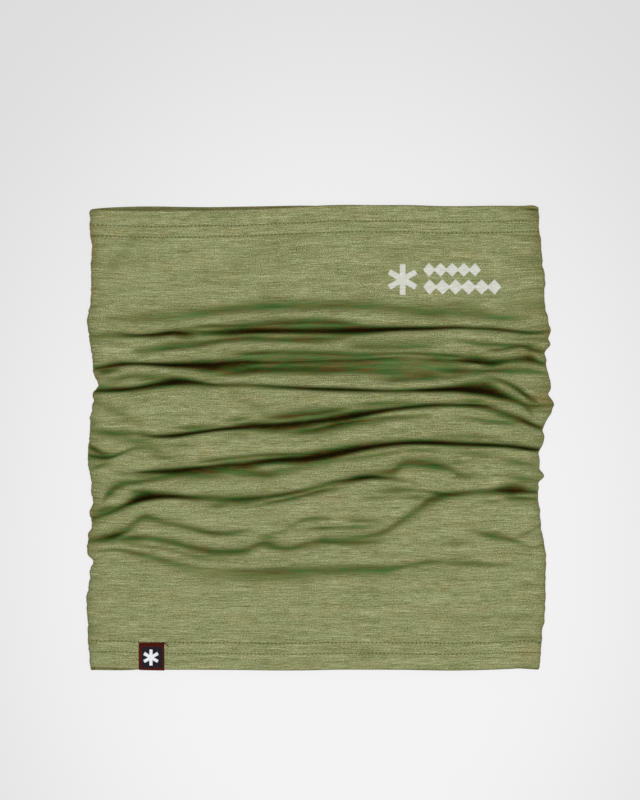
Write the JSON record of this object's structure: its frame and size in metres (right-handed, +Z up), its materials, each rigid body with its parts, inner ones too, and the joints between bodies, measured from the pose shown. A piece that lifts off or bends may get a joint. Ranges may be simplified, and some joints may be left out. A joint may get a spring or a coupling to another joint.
{
  "type": "neck gaiter",
  "caption": "Soft knitted tube worn round the neck and lower face, hemmed at both ends, laid flat with its middle bunched into soft folds.",
  "frame": {"origin": "centre of the object's outline, at the surface it lies on", "axes": "+X across the tube, from the left side seam to the right one; +Y along the tube, towards the printed end; +Z up, out of the printed front"},
  "size_m": [0.2558, 0.2542, 0.0161],
  "materials": {
    "front_panel": "light heathered jersey, olive green, with fine cross-wise streaks",
    "back_panel": "the same jersey as the front",
    "left_seam_thread": "soft bulked overlock thread, olive",
    "right_seam_thread": "soft bulked overlock thread, olive",
    "top_hem_needle_thread_outer": "spun sewing thread, olive",
    "top_hem_needle_thread_inner": "spun sewing thread, olive",
    "top_hem_looper_thread": "soft looper thread, olive",
    "bottom_hem_needle_thread_outer": "spun sewing thread, olive",
    "bottom_hem_needle_thread_inner": "spun sewing thread, olive",
    "bottom_hem_looper_thread": "soft looper thread, olive",
    "hem_label": "woven damask label, black field with a dark red-brown border",
    "label_stitching": "fine sewing thread, dark red-brown",
    "print_emblem": "matt bonded film, pale grey",
    "print_band_upper": "matt bonded film, pale grey",
    "print_band_lower": "matt bonded film, pale grey"
  },
  "bodies": {
    "root": {"front_panel": "front_panel", "back_panel": "back_panel", "left_seam_thread": "left_seam_thread", "right_seam_thread": "right_seam_thread", "top_hem_needle_thread_outer": "top_hem_needle_thread_outer", "top_hem_needle_thread_inner": "top_hem_needle_thread_inner", "top_hem_looper_thread": "top_hem_looper_thread", "bottom_hem_needle_thread_outer": "bottom_hem_needle_thread_outer", "bottom_hem_needle_thread_inner": "bottom_hem_needle_thread_inner", "bottom_hem_looper_thread": "bottom_hem_looper_thread", "hem_label": "hem_label", "label_stitching": "label_stitching", "print_emblem": "print_emblem", "print_band_upper": "print_band_upper", "print_band_lower": "print_band_lower"}
  },
  "joints": []
}
